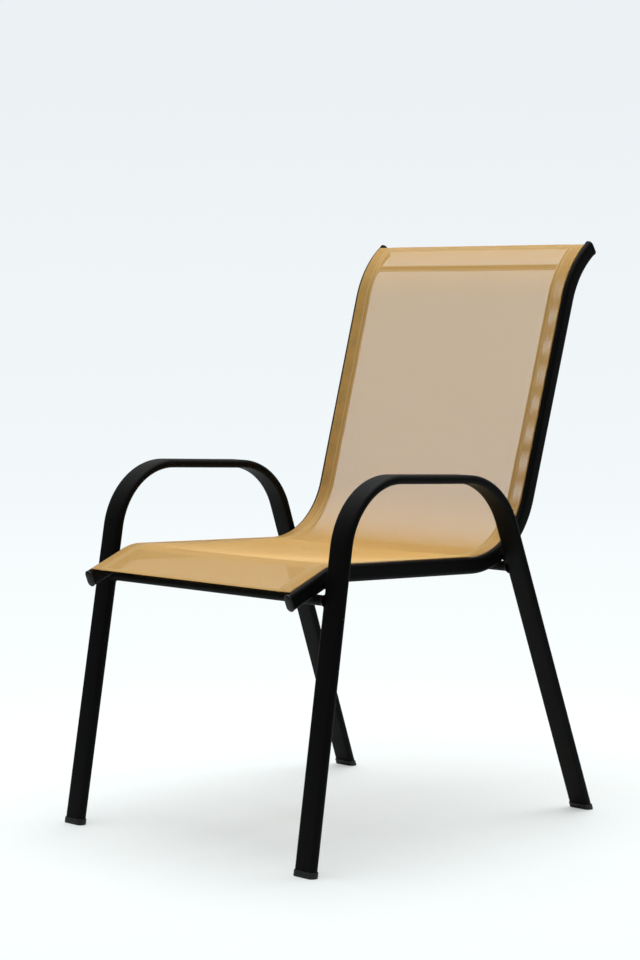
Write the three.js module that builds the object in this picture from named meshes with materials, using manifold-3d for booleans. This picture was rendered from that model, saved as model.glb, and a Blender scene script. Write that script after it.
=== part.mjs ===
// A stacking patio armchair: two bent side frames, two slotted rails and one sling.
// Millimetres, +Z up, the sitter faces -Y, the chair is mirrored about the plane X = 0.

import * as THREE from 'three';
import Module from 'manifold-3d';

// Side view of a side frame, on the centre line of its tube
const FOOT_SPREAD = 648.1; // front foot to rear foot along the floor
const ARM_FRONT_HEIGHT = 572.8; // where the front leg's line meets the armrest's
const ARM_REAR_HEIGHT = 554;
const ARM_FRONT_SETBACK = 98.4; // how far that corner lies behind the front foot
const ARM_REAR_SETBACK = 211.8; // and the rear corner ahead of the rear foot
const ARM_FRONT_RADIUS = 114;
const ARM_REAR_RADIUS = 120;
const FRONT_FOOT_SPLAY = 4.6; // the foot stands this far outside the leg's joint with the rail
const REAR_FOOT_SPLAY = 11.6;
const LEG_WIDTH = 40; // flat oval tube, its wide side across the chair
const LEG_THICKNESS = 13.5;
const LEG_WALL = 1.2;

// Side view of a sling rail, on the centre line of its tube
const KNEE_SETBACK = 93.3; // the front bend's corner, behind the front foot
const KNEE_HEIGHT = 431.3;
const KNEE_RADIUS = 68;
const NOSE_LENGTH = 94.7; // corner of the front bend to the rail's lower end
const NOSE_ANGLE = THREE.MathUtils.degToRad(21.5);
const SEAT_LENGTH = 426.9; // corner of the front bend to the corner of the back's
const SEAT_DROP = 18.7; // the seat's fall from front to rear
const LAP_RADIUS = 139;
const BACK_ANGLE = THREE.MathUtils.degToRad(73.3);
const BACK_LENGTH = 440.8; // corner of the seat to the start of the curl at the top
const CURL_RADIUS = 153.8;
const CURL_ANGLE = THREE.MathUtils.degToRad(39);
const RAIL_SPACING_NOSE = 437.4; // between the two rails' centre lines, at the lower ends
const RAIL_SPACING_LAP = 442;
const RAIL_SPACING_TOP = 452.8;
const RAIL_WIDTH = 13.5; // flat oval tube, its wide side upright
const RAIL_DEPTH = 26.4;
const RAIL_WALL = 1.4;
const RAIL_LEG_GAP = 4.35; // from the rail's flat side to the leg beside it
const SLOT_WIDTH = 3.2; // the open seam that takes the sling's edge
const SLOT_INSET = 1.4; // the seam's centre, nearer the chair's middle than the rail's

// Crossbars
const BAR_DIAMETER = 16;
const BAR_WALL = 1.2;
const FRONT_BAR_GAP = 3.4; // free space between the bar and the rails above it
const REAR_BAR_GAP = 2.6;
const COPE_DEPTH = 2.5; // how far a bar's end reaches past the leg's rounded edge
const BAR_WELD_LENGTH = 5;
const BAR_WELD_HEIGHT = 3.2;
const BAR_WELD_EDGE = 0.8; // the bead's height where it runs out on the bar
const RAIL_WELD_RADIUS = 5.2;
const RAIL_WELD_INSET = 2.4; // the bead's centre, inside the leg's inner edge

// Sling, edge rods and sewn band
const FABRIC = 0.8;
const LAYER_GAP = 0.3;
const HEM_WIDTH = 28.5; // from the slot to the hem's inner edge
const HEM_FOLD = 10.2; // the turned-under strip along that edge
const FRONT_HEM = 8; // this and what follows is measured along the rails' centre lines
const TOP_HEM = 9.9;
const SLING_FRONT_INSET = 6; // from the rails' lower ends to the sling's front edge
const SLING_TOP_INSET = 7.5;
const BAND_DROP = 41.5; // from the sling's top edge to the band
const BAND_WIDTH = 11.2;
const SEAT_SAG = 7; // and across the middle of the chair
const BACK_SAG = 4;
const KEDER_DIAMETER = 4;
const KEDER_CLEARANCE = 0.5;
const LOOP_PLAY = 0.6; // between the loop round the rod and the slot's lips

// End caps
const RAIL_CAP_THICKNESS = 4;
const RAIL_CAP_LIP = 0.5;
const RAIL_CAP_PLUG = 9;
const RAIL_CAP_PLAY = 0.6; // round the plug, inside the rail
const FOOT_CAP_HEIGHT = 9;
const FOOT_CAP_WALL = 1.2;
const FOOT_CAP_SOLE = 3;
const FOOT_CAP_BEVEL = 0.8;

// Clearance between neighbouring pieces, and how finely the round shapes are cut
const SEAM = 0.3;
const OVAL_STEPS = 8;
const ARM_STEPS = 11;
const KNEE_STEPS = 5;
const LAP_STEPS = 12;
const CURL_STEPS = 7;
const SPAN_STEPS = 4;
const SLOTTED_STEPS = 4; // in each quarter turn of the slotted section
const LOOP_STEPS = 8;
const ROUND_STEPS = 20;

// Where the sling is sampled across its clear span, and the dome of a rail's cap
const SPAN_SHARES = [0, 0.25, 0.5, 0.75, 1];
const DOME_SHARES = [[1, 0], [1, 0.55], [0.9, 0.85], [0.6, 1]];
const FOLD_ROUND_SHARE = 0.6; // of the fabric, taken off a fold's outer corner
const WELD_DEPTH_SHARE = 0.78; // of the rail's half depth, down to the bead's centre

const BLACK_PAINT = { color: 0x0d0e0d, roughness: 0.38, metalness: 0.1 };
const BLACK_PLASTIC = { color: 0x141515, roughness: 0.55, metalness: 0 };
const TAN_MESH = { color: 0xb98d57, roughness: 0.75, metalness: 0 };
const TAN_CORD = { color: 0xc9a878, roughness: 0.5, metalness: 0 };

const X_AXIS = new THREE.Vector3(1, 0, 0);
const wasm = await Module();
wasm.setup();

// Joins rings of points, which all have the same count, into one closed skin
class Skin {
  constructor() {
    this.points = [];
    this.faces = [];
  }

  ring(points) {
    const start = this.points.length;
    this.points.push(...points);
    return points.map((_, i) => start + i);
  }

  join(a, b) {
    a.forEach((_, i) => {
      const j = (i + 1) % a.length;
      this.faces.push(a[i], a[j], b[j], a[i], b[j], b[i]);
    });
  }

  // Closes the first or the last of the joined rings
  lid(ring, outline, first) {
    const flip = THREE.ShapeUtils.isClockWise(outline) !== first;
    for (const [a, b, c] of THREE.ShapeUtils.triangulateShape(outline, [])) {
      this.faces.push(ring[a], ring[flip ? c : b], ring[flip ? b : c]);
    }
  }

  volume() {
    let sum = 0;
    for (let i = 0; i < this.faces.length; i += 3) {
      const [a, b, c] = this.faces.slice(i, i + 3).map((k) => this.points[k]);
      sum += a.dot(new THREE.Vector3().crossVectors(b, c));
    }
    return sum;
  }

  geometry() {
    if (this.volume() < 0) this.faces.reverse();
    const positions = new Float32Array(this.points.flatMap((p) => p.toArray()));
    return indexed(positions, this.faces);
  }
}

// Joins sections of points in a row; the flat outlines say how the two ends are closed
function loft(sections, first, last = first) {
  const skin = new Skin();
  const rings = sections.map((points) => skin.ring(points));
  rings.slice(1).forEach((ring, i) => skin.join(rings[i], ring));
  skin.lid(rings[0], first, true);
  skin.lid(rings[rings.length - 1], last, false);
  return skin.geometry();
}

// A wall between outer and inner sections, open at both ends
function tube(outer, inner) {
  const skin = new Skin();
  const rings = [...outer, ...inner.reverse()].map((points) => skin.ring(points));
  rings.forEach((ring, i) => skin.join(ring, rings[(i + 1) % rings.length]));
  return skin.geometry();
}

function indexed(positions, faces) {
  const geometry = new THREE.BufferGeometry();
  geometry.setAttribute('position', new THREE.BufferAttribute(positions, 3));
  geometry.setIndex(Array.from(faces));
  geometry.computeVertexNormals();
  return geometry;
}

function solid(geometry) {
  const vertProperties = geometry.getAttribute('position').array;
  const triVerts = new Uint32Array(geometry.getIndex().array);
  return new wasm.Manifold(new wasm.Mesh({ numProp: 3, vertProperties, triVerts }));
}

function cut(geometry, cutters) {
  const result = cutters.reduce((body, cutter) => body.subtract(solid(cutter)), solid(geometry));
  const mesh = result.getMesh();
  return indexed(mesh.vertProperties, mesh.triVerts);
}

// A side-view polyline with rounded corners, as points with their tangents
function roundedLine(corners, radii, steps) {
  const last = corners.length - 1;
  const heading = (i) => corners[i + 1].clone().sub(corners[i]).normalize();
  const stations = [{ point: corners[0], tangent: heading(0) }];
  for (let i = 1; i < last; i += 1) {
    const [before, after] = [heading(i - 1), heading(i)];
    const turn = Math.atan2(before.cross(after), before.dot(after));
    const reach = radii[i - 1] * Math.tan(Math.abs(turn) / 2);
    const start = corners[i].clone().addScaledVector(before, -reach);
    stations.push(...arc(start, before, radii[i - 1], turn, steps[i - 1]));
  }
  stations.push({ point: corners[last], tangent: heading(last - 1) });
  return stations;
}

function arc(start, ahead, radius, turn, steps) {
  const side = new THREE.Vector2(-ahead.y, ahead.x).multiplyScalar(Math.sign(turn));
  const centre = start.clone().addScaledVector(side, radius);
  return Array.from({ length: steps + 1 }, (_, i) => {
    const angle = (turn * i) / steps;
    const tangent = ahead.clone().rotateAround(new THREE.Vector2(), angle);
    const point = start.clone().rotateAround(centre, angle);
    return { point, tangent };
  });
}

// A station carries a section: its place, and the direction that the section's depth follows
function station(point, tangent, x) {
  const place = new THREE.Vector3(x, point.x, point.y);
  const along = new THREE.Vector3(0, tangent.x, tangent.y);
  return { place, along, depth: new THREE.Vector3().crossVectors(X_AXIS, along) };
}

function onStation(s, a, n, side) {
  const point = s.place.clone().addScaledVector(s.depth, n);
  point.x = side * (s.place.x + a);
  return point;
}

// Carries one section along stations
function sweep(stations, outline, side) {
  return loft(stations.map((s) => outline.map((p) => onStation(s, p.x, p.y, side))), outline);
}

function oval(width, thickness) {
  const flat = (width - thickness) / 2;
  const points = [];
  for (const end of [1, -1]) {
    for (let i = 0; i <= OVAL_STEPS; i += 1) {
      const angle = Math.PI * (i / OVAL_STEPS - 0.5);
      const x = flat + (Math.cos(angle) * thickness) / 2;
      points.push(new THREE.Vector2(end * x, (end * Math.sin(angle) * thickness) / 2));
    }
  }
  return points;
}

function upright(depth, width) {
  return oval(depth, width).map((p) => new THREE.Vector2(p.y, p.x));
}

// Starts at the top and runs clockwise, or along a part of the way round
function ellipse(width, depth, steps, from = 0, turn = 2 * Math.PI * (1 - 1 / steps)) {
  return Array.from({ length: steps }, (_, i) => {
    const angle = from + (turn * i) / (steps - 1);
    return new THREE.Vector2((Math.sin(angle) * width) / 2, (Math.cos(angle) * depth) / 2);
  });
}

// Side view: Y runs to the rear from the front foot, Z is the height
const frontFoot = new THREE.Vector2(0, 0);
const rearFoot = new THREE.Vector2(FOOT_SPREAD, 0);
const armFront = new THREE.Vector2(ARM_FRONT_SETBACK, ARM_FRONT_HEIGHT);
const armRear = new THREE.Vector2(FOOT_SPREAD - ARM_REAR_SETBACK, ARM_REAR_HEIGHT);

function railLine() {
  const knee = new THREE.Vector2(KNEE_SETBACK, KNEE_HEIGHT);
  const nose = new THREE.Vector2(-Math.cos(NOSE_ANGLE), -Math.sin(NOSE_ANGLE));
  const tip = knee.clone().addScaledVector(nose, NOSE_LENGTH);
  const lap = knee.clone().add(new THREE.Vector2(SEAT_LENGTH, -SEAT_DROP));
  const up = new THREE.Vector2(Math.cos(BACK_ANGLE), Math.sin(BACK_ANGLE));
  const neck = lap.clone().addScaledVector(up, BACK_LENGTH);
  const line = roundedLine([tip, knee, lap, neck], [KNEE_RADIUS, LAP_RADIUS], [KNEE_STEPS, LAP_STEPS]);
  line.pop();
  return line.concat(arc(neck, up, CURL_RADIUS, -CURL_ANGLE, CURL_STEPS));
}

// Adds the distance along the line to each of its points
function measured(line) {
  let run = 0;
  return line.map((s, i) => {
    if (i > 0) run += s.point.distanceTo(line[i - 1].point);
    return { ...s, run };
  });
}

// Stations are counted from the lower end: its own, the knee's, the lap's, the curl's
const railPoints = measured(railLine());
const kneeEnd = 1 + KNEE_STEPS;
const lapEnd = kneeEnd + 1 + LAP_STEPS;
const lapRun = railPoints[lapEnd - LAP_STEPS / 2].run;
const railLength = railPoints[railPoints.length - 1].run;

function railX(run) {
  const [low, high, share] = run < lapRun
    ? [RAIL_SPACING_NOSE, RAIL_SPACING_LAP, run / lapRun]
    : [RAIL_SPACING_LAP, RAIL_SPACING_TOP, (run - lapRun) / (railLength - lapRun)];
  return THREE.MathUtils.lerp(low, high, share) / 2;
}

const railStations = railPoints.map((s) => ({ ...station(s.point, s.tangent, railX(s.run)), run: s.run }));

// The place on the faceted rail at a given run, on the chord between its stations
function railAt(run) {
  const next = Math.max(1, railStations.findIndex((s) => s.run >= run));
  const [a, b] = [railStations[next - 1], railStations[next]];
  const share = (run - a.run) / (b.run - a.run);
  const mix = (key) => a[key].clone().lerp(b[key], share);
  return { place: mix('place'), along: mix('along'), depth: mix('depth'), run };
}

function railBetween(from, to, extra = []) {
  const runs = railStations.map((s) => s.run).concat(extra);
  const inside = runs.filter((run) => run > from + SEAM && run < to - SEAM);
  return [from, ...inside.sort((a, b) => a - b), to].map(railAt);
}

// Where a leg's centre line crosses the rail's in side view
function crossing(foot, corner) {
  const leg = corner.clone().sub(foot);
  for (let i = 1; i < railStations.length; i += 1) {
    const a = railPoints[i - 1].point;
    const b = railPoints[i].point;
    const chord = b.clone().sub(a);
    const span = leg.cross(chord);
    const t = a.clone().sub(foot).cross(chord) / span;
    const u = a.clone().sub(foot).cross(leg) / span;
    if (u >= 0 && u <= 1 && t > 0 && t < 1) {
      const run = THREE.MathUtils.lerp(railPoints[i - 1].run, railPoints[i].run, u);
      const sine = Math.abs(span) / leg.length() / chord.length();
      return { point: foot.clone().addScaledVector(leg, t), run, sine };
    }
  }
  throw new Error('the leg passes the rail');
}

const frontJoint = crossing(frontFoot, armFront);
const rearJoint = crossing(rearFoot, armRear);

// A leg stands beside the rail at the joint, and splays out evenly from there to its foot
function legX(joint, splay, z) {
  const beside = railX(joint.run) + RAIL_WIDTH / 2 + RAIL_LEG_GAP + LEG_WIDTH / 2;
  return beside + splay * (1 - z / joint.point.y);
}

function frameX(point) {
  const share = THREE.MathUtils.clamp((point.x - armFront.x) / (armRear.x - armFront.x), 0, 1);
  const front = legX(frontJoint, FRONT_FOOT_SPLAY, point.y);
  const rear = legX(rearJoint, REAR_FOOT_SPLAY, point.y);
  return THREE.MathUtils.lerp(front, rear, share);
}

const frameStations = roundedLine(
  [frontFoot, armFront, armRear, rearFoot],
  [ARM_FRONT_RADIUS, ARM_REAR_RADIUS],
  [ARM_STEPS, ARM_STEPS],
).map((s) => station(s.point, s.tangent, frameX(s.point)));

// Slides the points of a section along the leg until they lie at one height
function cutAtHeight(s, outline, z, side) {
  return outline.map((p) => {
    const point = onStation(s, p.x, p.y, side);
    return point.addScaledVector(s.along, (z - point.z) / s.along.z);
  });
}

function sideFrame(side) {
  const ends = [frameStations[0], frameStations[frameStations.length - 1]];
  const sections = (outline) => frameStations.map((s) => (
    ends.includes(s)
      ? cutAtHeight(s, outline, FOOT_CAP_SOLE + SEAM, side)
      : outline.map((p) => onStation(s, p.x, p.y, side))
  ));
  const bore = oval(LEG_WIDTH - 2 * LEG_WALL, LEG_THICKNESS - 2 * LEG_WALL);
  return tube(sections(oval(LEG_WIDTH, LEG_THICKNESS)), sections(bore));
}

// A cup round the leg's end, with a flat sole
function footCap(s, side) {
  const grown = (by) => oval(LEG_WIDTH + 2 * by, LEG_THICKNESS + 2 * by);
  const wall = SEAM + FOOT_CAP_WALL;
  const levels = [
    [wall - FOOT_CAP_BEVEL, 0],
    [wall, FOOT_CAP_BEVEL],
    [wall, FOOT_CAP_HEIGHT - FOOT_CAP_BEVEL],
    [wall - FOOT_CAP_BEVEL, FOOT_CAP_HEIGHT],
    [SEAM, FOOT_CAP_HEIGHT],
    [SEAM, FOOT_CAP_SOLE],
  ];
  return loft(levels.map(([by, z]) => cutAtHeight(s, grown(by), z, side)), grown(0));
}

// The rail's section is a C: a flat-oval wall, open along the slot in its round top
function slotAngles(width) {
  const edge = (a) => Math.asin((2 * a) / width);
  return [edge(SLOT_WIDTH / 2 - SLOT_INSET), 2 * Math.PI + edge(-SLOT_WIDTH / 2 - SLOT_INSET)];
}

// Runs clockwise from one side of the slot to the other
function slottedOval(width, depth) {
  const [from, to] = slotAngles(width);
  const quarter = Math.PI / 2;
  const arcs = [[from, quarter, 1], [quarter, 3 * quarter, -1], [3 * quarter, to, 1]];
  return arcs.flatMap(([start, end, upward]) => {
    const steps = Math.round(((end - start) / quarter) * SLOTTED_STEPS);
    const centre = new THREE.Vector2(0, (upward * (depth - width)) / 2);
    return ellipse(width, width, steps + 1, start, end - start).map((p) => p.add(centre));
  });
}

function railOutline() {
  const bore = slottedOval(RAIL_WIDTH - 2 * RAIL_WALL, RAIL_DEPTH - 2 * RAIL_WALL);
  return slottedOval(RAIL_WIDTH, RAIL_DEPTH).concat(bore.reverse());
}

// The loop of the sling's edge hangs under the slot, held by the rail's wall
const LOOP_BORE = KEDER_DIAMETER / 2 + KEDER_CLEARANCE;
const LOOP_RADIUS = LOOP_BORE + FABRIC;

function loopDepth() {
  const lips = slottedOval(RAIL_WIDTH - 2 * RAIL_WALL, RAIL_DEPTH - 2 * RAIL_WALL);
  const lip = Math.min(lips[0].y, lips[lips.length - 1].y);
  return lip - Math.sqrt((LOOP_RADIUS + LOOP_PLAY) ** 2 - (SLOT_WIDTH / 2) ** 2);
}

const KEDER_LEVEL = loopDepth();

// Heights above the rail's centre line: the sling's two layers on the rail
const UNDER = RAIL_DEPTH / 2 + SEAM;
const UNDER_TOP = UNDER + FABRIC;
const FACE_UNDER = UNDER_TOP + LAYER_GAP;
const FACE = FACE_UNDER + FABRIC;
const slingFrom = SLING_FRONT_INSET;
const slingTo = railLength - SLING_TOP_INSET;

function sagAt(run) {
  const bump = (from, to, sag) => {
    const share = THREE.MathUtils.clamp((run - from) / (to - from), 0, 1);
    return sag * Math.sin(Math.PI * share) ** 2;
  };
  return bump(slingFrom, lapRun, SEAT_SAG) + bump(lapRun, slingTo, BACK_SAG);
}

function slotX(s) {
  return s.place.x - SLOT_INSET;
}

// One point of the sling, at x across the chair and n above the rail's centre line
function slingPoint(s, x, n) {
  const sag = s.sag * (1 - Math.min(1, Math.abs(x) / slotX(s)) ** 2);
  const point = s.place.clone().addScaledVector(s.depth, n - sag);
  point.x = x;
  return point;
}

function loopPoints(radius, neck) {
  const from = Math.asin(neck / radius);
  const circle = ellipse(2 * radius, 2 * radius, LOOP_STEPS + 1, from, 2 * (Math.PI - from));
  return circle.map((p) => [p.x, KEDER_LEVEL + p.y]);
}

// Half of the sling's section, from the face's middle round the edge rod to the back's middle
function slingHalf(s) {
  const slot = slotX(s);
  const hem = slot - HEM_WIDTH;
  const neck = LAYER_GAP / 2;
  const flank = neck + FABRIC;
  const round = FABRIC * FOLD_ROUND_SHARE;
  const back = s.hemmed ? UNDER : FACE_UNDER;
  return [
    ...SPAN_SHARES.map((share) => [share * hem, FACE]),
    [slot + flank - round, FACE],
    [slot + flank, FACE - round],
    ...loopPoints(LOOP_RADIUS, flank).map(([a, n]) => [slot + a, n]),
    [slot - flank, UNDER],
    [hem + HEM_FOLD, UNDER],
    [hem + HEM_FOLD, UNDER - FABRIC],
    [hem, UNDER - FABRIC],
    [hem, UNDER_TOP],
    [slot - neck - round, UNDER_TOP],
    [slot - neck, UNDER_TOP - round],
    ...loopPoints(LOOP_BORE, neck).reverse().map(([a, n]) => [slot + a, n]),
    [slot + neck, FACE_UNDER],
    [hem - SEAM, FACE_UNDER],
    ...SPAN_SHARES.slice(0, -1).reverse().map((share) => [share * (hem - 2 * SEAM), back]),
  ];
}

function slingStations() {
  const spans = [];
  for (const i of [kneeEnd, lapEnd]) {
    const [from, to] = [railStations[i].run, railStations[i + 1].run];
    for (let k = 1; k < SPAN_STEPS; k += 1) spans.push(THREE.MathUtils.lerp(from, to, k / SPAN_STEPS));
  }
  const hems = [slingFrom + FRONT_HEM, slingTo - TOP_HEM];
  const steps = [...hems, hems[0] + SEAM, hems[1] - SEAM];
  return railBetween(slingFrom, slingTo, [...spans, ...steps]).map((s) => ({
    ...s,
    sag: sagAt(s.run),
    hemmed: s.run <= hems[0] || s.run >= hems[1],
  }));
}

function asVectors(outline) {
  return outline.map(([x, n]) => new THREE.Vector2(x, n));
}

function sling(stations) {
  const outlines = stations.map((s) => {
    const half = slingHalf(s);
    return half.concat(half.slice(1, -1).reverse().map(([x, n]) => [-x, n]));
  });
  const sections = stations.map((s, i) => outlines[i].map(([x, n]) => slingPoint(s, x, n)));
  return loft(sections, asVectors(outlines[0]), asVectors(outlines[outlines.length - 1]));
}

// The sling's own stations between two runs, so that what is sewn to it bends as it does
function sewnBetween(stations, from, to) {
  const at = (run) => {
    const next = stations.findIndex((s) => s.run >= run);
    const [a, b] = [stations[next - 1], stations[next]];
    const sag = THREE.MathUtils.lerp(a.sag, b.sag, (run - a.run) / (b.run - a.run));
    return { ...railAt(run), sag };
  };
  const inside = stations.filter((s) => s.run > from && s.run < to);
  return [at(from), ...inside, at(to)];
}

// The strip sewn across the back of the sling, below its top edge
function topBand(stations) {
  const to = slingTo - BAND_DROP;
  const shares = SPAN_SHARES.slice(1).reverse().map((share) => -share).concat(SPAN_SHARES);
  const outlines = sewnBetween(stations, to - BAND_WIDTH, to).map((s) => {
    const xs = shares.map((share) => share * (slotX(s) - HEM_WIDTH - 2 * SEAM));
    return { s, points: [...xs.map((x) => [x, UNDER_TOP]), ...xs.reverse().map((x) => [x, UNDER])] };
  });
  const sections = outlines.map(({ s, points }) => points.map(([x, n]) => slingPoint(s, x, n)));
  return loft(sections, asVectors(outlines[0].points));
}

function keder(side) {
  const rod = ellipse(KEDER_DIAMETER, KEDER_DIAMETER, LOOP_STEPS);
  const outline = rod.map((p) => p.add(new THREE.Vector2(-SLOT_INSET, KEDER_LEVEL)));
  return sweep(railBetween(slingFrom, slingTo), outline, side);
}

// A domed oval flange on the rail's end, with a half plug that stays under the edge rod
function railCap(outward, side) {
  const end = railAt(outward > 0 ? railLength : 0);
  const inside = railAt(outward > 0 ? railLength - RAIL_CAP_PLUG : RAIL_CAP_PLUG);
  const play = RAIL_WALL + RAIL_CAP_PLAY;
  const plug = upright(RAIL_DEPTH - 2 * play, RAIL_WIDTH - 2 * play);
  plug.forEach((p) => p.setY(Math.min(p.y, KEDER_LEVEL - LOOP_RADIUS - SEAM)));
  const flange = upright(RAIL_DEPTH + 2 * RAIL_CAP_LIP, RAIL_WIDTH + 2 * RAIL_CAP_LIP);
  const dome = DOME_SHARES.map(([share, rise]) => {
    const outline = flange.map((p) => p.clone().multiplyScalar(share));
    return [end, outline, SEAM + rise * RAIL_CAP_THICKNESS];
  });
  const levels = [[inside, plug, 0], [end, plug, SEAM], ...dome];
  const sections = levels.map(([s, outline, reach]) => outline.map(
    (p) => onStation(s, p.x, p.y, side).addScaledVector(s.along, outward * reach),
  ));
  return loft(sections, plug, flange);
}

// The outsides of a side frame and of a rail, grown by the seam, to cut the beads and bars with
function frameCutter(side) {
  return sweep(frameStations, oval(LEG_WIDTH + 2 * SEAM, LEG_THICKNESS + 2 * SEAM), side);
}

function railCutter(side) {
  return sweep(railStations, upright(RAIL_DEPTH + 2 * SEAM, RAIL_WIDTH + 2 * SEAM), side);
}

// The crossbar lies under the rails, on the legs' centre lines
function barPlace(foot, joint, splay, gap) {
  const down = foot.clone().sub(joint.point).normalize();
  const drop = (RAIL_DEPTH / 2 + gap + BAR_DIAMETER / 2) / joint.sine;
  const point = joint.point.clone().addScaledVector(down, drop);
  return { point, edge: legX(joint, splay, point.y) - LEG_WIDTH / 2 };
}

// A round body across the chair, with a ring at each [x, radius] of its profile
function spindle(centre, profile) {
  const circle = ellipse(2, 2, ROUND_STEPS);
  const sections = profile.map(([x, radius]) => circle.map(
    (p) => new THREE.Vector3(x, centre.x + p.x * radius, centre.y + p.y * radius),
  ));
  return loft(sections, circle);
}

function crossbar(place, frames) {
  const end = place.edge + COPE_DEPTH;
  const rod = (radius, reach) => spindle(place.point, [[-reach, radius], [reach, radius]]);
  const bore = rod(BAR_DIAMETER / 2 - BAR_WALL, end + SEAM);
  return cut(rod(BAR_DIAMETER / 2, end), [bore, ...frames]);
}

// The bead round a crossbar's end, against the leg's rounded edge
function barBead(place, side, grow) {
  const bar = BAR_DIAMETER / 2 + SEAM + grow;
  const start = side * (place.edge - BAR_WELD_LENGTH - grow);
  const end = side * (place.edge + COPE_DEPTH);
  return spindle(place.point, [[start, bar + BAR_WELD_EDGE], [end, bar + BAR_WELD_HEIGHT]]);
}

function barWeld(place, frame, side) {
  const radius = BAR_DIAMETER / 2 + SEAM;
  const reach = side * (place.edge + LEG_WIDTH);
  const bar = spindle(place.point, [[0, radius], [reach, radius]]);
  return cut(barBead(place, side, 0), [bar, frame]);
}

// The bead in the pocket under a rail, where it lies against the leg
function railWeld(joint, splay, place, frame, side) {
  const at = railAt(joint.run);
  const low = at.place.clone().addScaledVector(at.depth, (-RAIL_DEPTH / 2) * WELD_DEPTH_SHARE);
  const x = legX(joint, splay, low.z) - LEG_WIDTH / 2 - RAIL_WELD_INSET;
  const profile = [];
  for (let i = 1; i < LOOP_STEPS; i += 1) {
    const angle = (Math.PI * i) / LOOP_STEPS;
    profile.push([side * (x - Math.cos(angle) * RAIL_WELD_RADIUS), Math.sin(angle) * RAIL_WELD_RADIUS]);
  }
  const bead = spindle(new THREE.Vector2(low.y, low.z), profile);
  return cut(bead, [frame, railCutter(side), barBead(place, side, SEAM)]);
}

const chair = new THREE.Group();

function add(name, geometry, look) {
  const mesh = new THREE.Mesh(geometry, new THREE.MeshStandardMaterial(look));
  mesh.name = name;
  chair.add(mesh);
}

const JOINTS = {
  front: { foot: frontFoot, joint: frontJoint, splay: FRONT_FOOT_SPLAY, gap: FRONT_BAR_GAP },
  rear: { foot: rearFoot, joint: rearJoint, splay: REAR_FOOT_SPLAY, gap: REAR_BAR_GAP },
};
const SIDES = { left: 1, right: -1 };
const slingLine = slingStations();

add('sling', sling(slingLine), TAN_MESH);
add('top_band', topBand(slingLine), TAN_MESH);
for (const [hand, side] of Object.entries(SIDES)) {
  add(`side_frame_${hand}`, sideFrame(side), BLACK_PAINT);
  add(`sling_rail_${hand}`, sweep(railStations, railOutline(), side), BLACK_PAINT);
  add(`keder_rod_${hand}`, keder(side), TAN_CORD);
  add(`rail_cap_front_${hand}`, railCap(-1, side), BLACK_PLASTIC);
  add(`rail_cap_top_${hand}`, railCap(1, side), BLACK_PLASTIC);
  add(`foot_cap_front_${hand}`, footCap(frameStations[0], side), BLACK_PLASTIC);
  add(`foot_cap_rear_${hand}`, footCap(frameStations[frameStations.length - 1], side), BLACK_PLASTIC);
}
const frames = Object.values(SIDES).map(frameCutter);
for (const [end, { foot, joint, splay, gap }] of Object.entries(JOINTS)) {
  const place = barPlace(foot, joint, splay, gap);
  add(`${end}_crossbar`, crossbar(place, frames), BLACK_PAINT);
  Object.entries(SIDES).forEach(([hand, side], i) => {
    add(`bar_weld_${end}_${hand}`, barWeld(place, frames[i], side), BLACK_PAINT);
    add(`rail_weld_${end}_${hand}`, railWeld(joint, splay, place, frames[i], side), BLACK_PAINT);
  });
}

// The origin is the middle of the chair's box, on the floor
const box = new THREE.Box3().setFromObject(chair);
const middle = box.getCenter(new THREE.Vector3());
chair.position.set(-middle.x, -middle.y, -box.min.z);

export default chair;
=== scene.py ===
"""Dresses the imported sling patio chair. Metres, the floor at z = 0, the sitter faces -Y."""

import math

import bpy
import numpy as np
from bpy.props import FloatProperty, FloatVectorProperty, PointerProperty
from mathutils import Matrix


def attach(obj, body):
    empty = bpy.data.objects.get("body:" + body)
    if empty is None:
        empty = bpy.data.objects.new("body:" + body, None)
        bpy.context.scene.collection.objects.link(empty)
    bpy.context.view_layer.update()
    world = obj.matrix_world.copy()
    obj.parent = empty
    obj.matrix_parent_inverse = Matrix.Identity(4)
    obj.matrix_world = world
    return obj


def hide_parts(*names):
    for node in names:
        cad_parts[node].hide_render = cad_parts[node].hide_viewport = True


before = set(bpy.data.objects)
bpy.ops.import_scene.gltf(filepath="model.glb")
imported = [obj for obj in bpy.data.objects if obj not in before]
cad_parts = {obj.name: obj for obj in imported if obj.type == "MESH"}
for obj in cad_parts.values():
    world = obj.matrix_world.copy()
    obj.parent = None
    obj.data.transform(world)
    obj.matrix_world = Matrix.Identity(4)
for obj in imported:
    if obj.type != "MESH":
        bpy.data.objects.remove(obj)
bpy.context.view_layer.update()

bl_info = {
    "name": "Sling patio chair",
    "version": (1, 0, 0),
    "blender": (4, 5, 0),
    "location": "3D View > Sidebar > Chair",
    "description": "Builds the tubes, caps, welds, mesh sling and stage of a patio chair",
    "category": "Add Mesh",
}

SIDES = {"left": 1, "right": -1}
BODY = "root"
MIDDLE_Y = 0.35464  # the chair's middle, behind the front foot

# Side frame, from the part's own sizes. Side-view points are complex: the real part runs to the
# rear from the front foot, and the imaginary part is the height.
FRONT_FOOT, REAR_FOOT = 0j, 0.6481 + 0j
ARM_FRONT, ARM_REAR = 0.0984 + 0.5728j, 0.4363 + 0.554j
ARM_RADII = (0.114, 0.12)
FRONT_SPLAY, REAR_SPLAY = 0.0046, 0.0116
LEG_WIDTH, LEG_THICKNESS = 0.04, 0.0135
OVAL_STEPS = 14  # of each half circle of a flat oval
FRAME_ARC_STEPS = 40
TUBE_STEP = 0.02  # the longest distance between a tube's rings

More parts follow.
